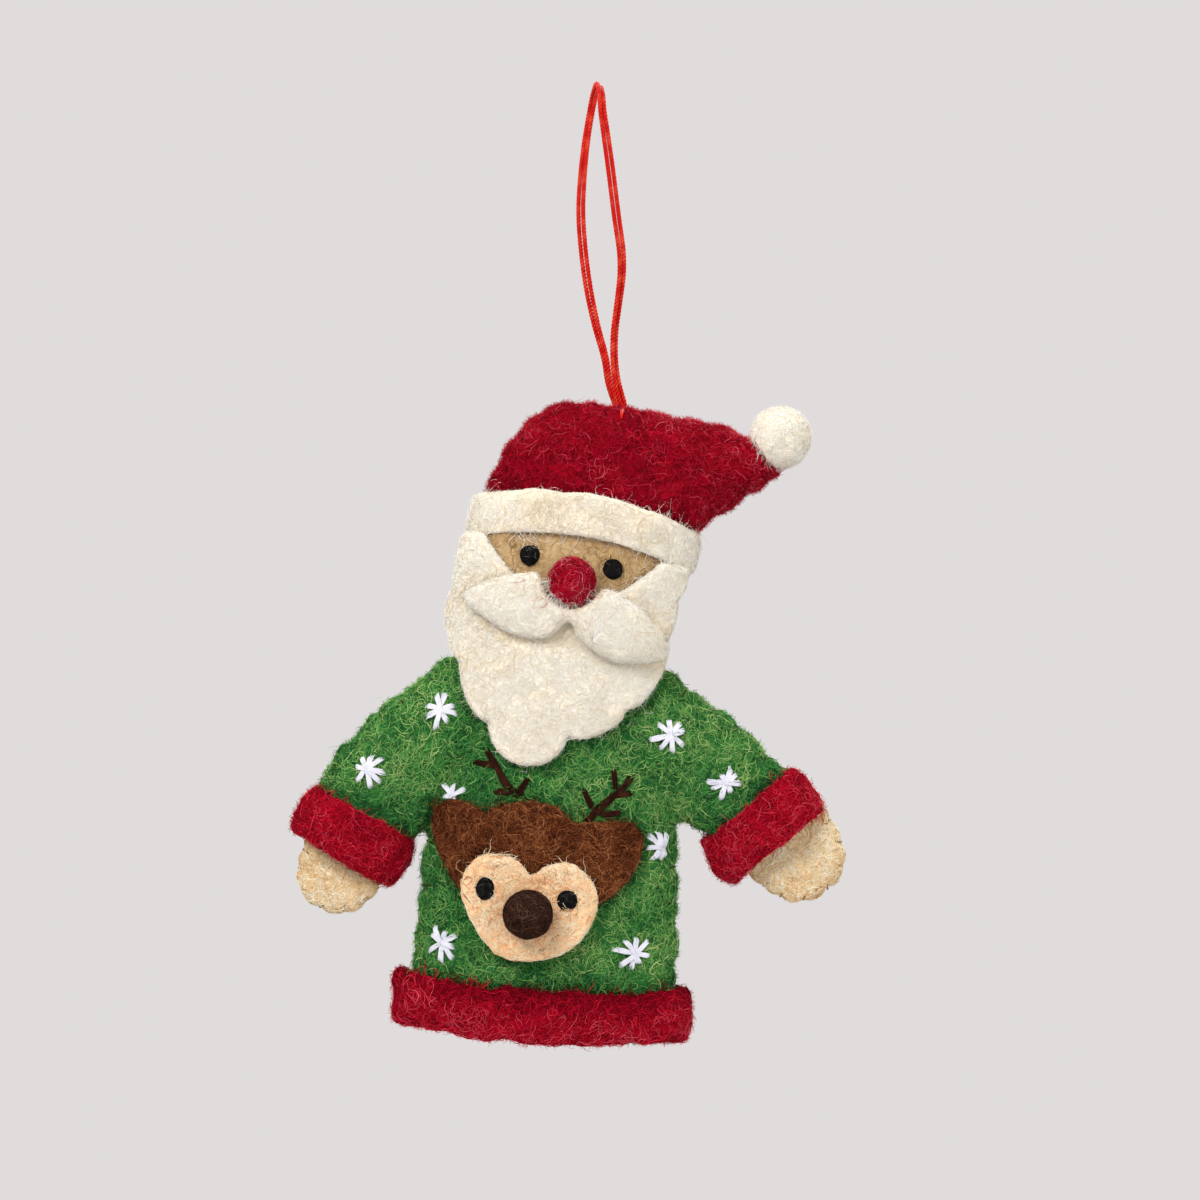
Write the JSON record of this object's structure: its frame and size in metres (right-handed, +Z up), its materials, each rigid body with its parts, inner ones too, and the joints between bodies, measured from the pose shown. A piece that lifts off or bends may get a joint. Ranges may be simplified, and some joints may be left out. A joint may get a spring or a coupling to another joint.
{
  "type": "hanging christmas decoration",
  "caption": "Stuffed felt Father Christmas in a jumper with a reindeer patch, hanging from a cord loop on which it turns and rocks.",
  "frame": {"origin": "inside top of the cord loop, where it rests on what it hangs from", "axes": "+Z up along the hanging cord, -Y the way the face looks, +X to the right seen from the front"},
  "size_m": [0.1061, 0.0346, 0.1852],
  "materials": {
    "crimson_felt": "matt wool felt, deep crimson with pink and dark fibres",
    "green_felt": "matt wool felt, mid green with yellow-green fibres",
    "cream_felt": "matt wool felt, warm cream",
    "tan_felt": "matt wool felt, khaki tan with golden fibres",
    "straw_felt": "matt wool felt, pale straw",
    "brown_felt": "matt wool felt, chestnut brown",
    "peach_felt": "matt wool felt, peach",
    "black_felt": "matt wool felt, black",
    "umber_felt": "matt wound wool, dark umber",
    "filling_wool": "loose wool filling",
    "red_cord": "twisted cotton cord, bright red with a slight sheen",
    "white_thread": "flat white embroidery thread with a satin sheen"
  },
  "bodies": {
    "hanger": {"hanging_cord_left_strand": "red_cord", "hanging_cord_right_strand": "red_cord"},
    "anchor": {"cord_knot": "red_cord"},
    "figure": {"hat_front": "crimson_felt", "hat_back": "crimson_felt", "hat_stuffing": "filling_wool", "hat_brim": "cream_felt", "hat_pompom": "cream_felt", "head_face": "tan_felt", "head_back": "cream_felt", "head_stuffing": "filling_wool", "beard": "cream_felt", "moustache": "cream_felt", "nose": "crimson_felt", "eye_left": "black_felt", "eye_right": "black_felt", "jumper_front": "green_felt", "jumper_back": "green_felt", "jumper_stuffing": "filling_wool", "sleeve_left_front": "green_felt", "sleeve_left_back": "green_felt", "sleeve_left_stuffing": "filling_wool", "sleeve_right_front": "green_felt", "sleeve_right_back": "green_felt", "sleeve_right_stuffing": "filling_wool", "hem_band": "crimson_felt", "cuff_left": "crimson_felt", "cuff_right": "crimson_felt", "hand_left_front": "straw_felt", "hand_left_back": "straw_felt", "hand_right_front": "straw_felt", "hand_right_back": "straw_felt", "reindeer_head": "brown_felt", "reindeer_face": "peach_felt", "reindeer_nose": "umber_felt", "reindeer_eye_left": "black_felt", "reindeer_eye_right": "black_felt"}
  },
  "joints": [
    {"name": "figure_turn", "type": "hinge", "parent": "hanger", "child": "anchor", "pos_m": [0.0046, 0, -0.0617], "axis": [0, 0, 1], "range_deg": [-180, 180]},
    {"name": "figure_rock", "type": "hinge", "parent": "anchor", "child": "figure", "pos_m": [0.0046, 0, -0.0617], "axis": [0, 1, 0], "range_deg": [-30, 30]}
  ]
}
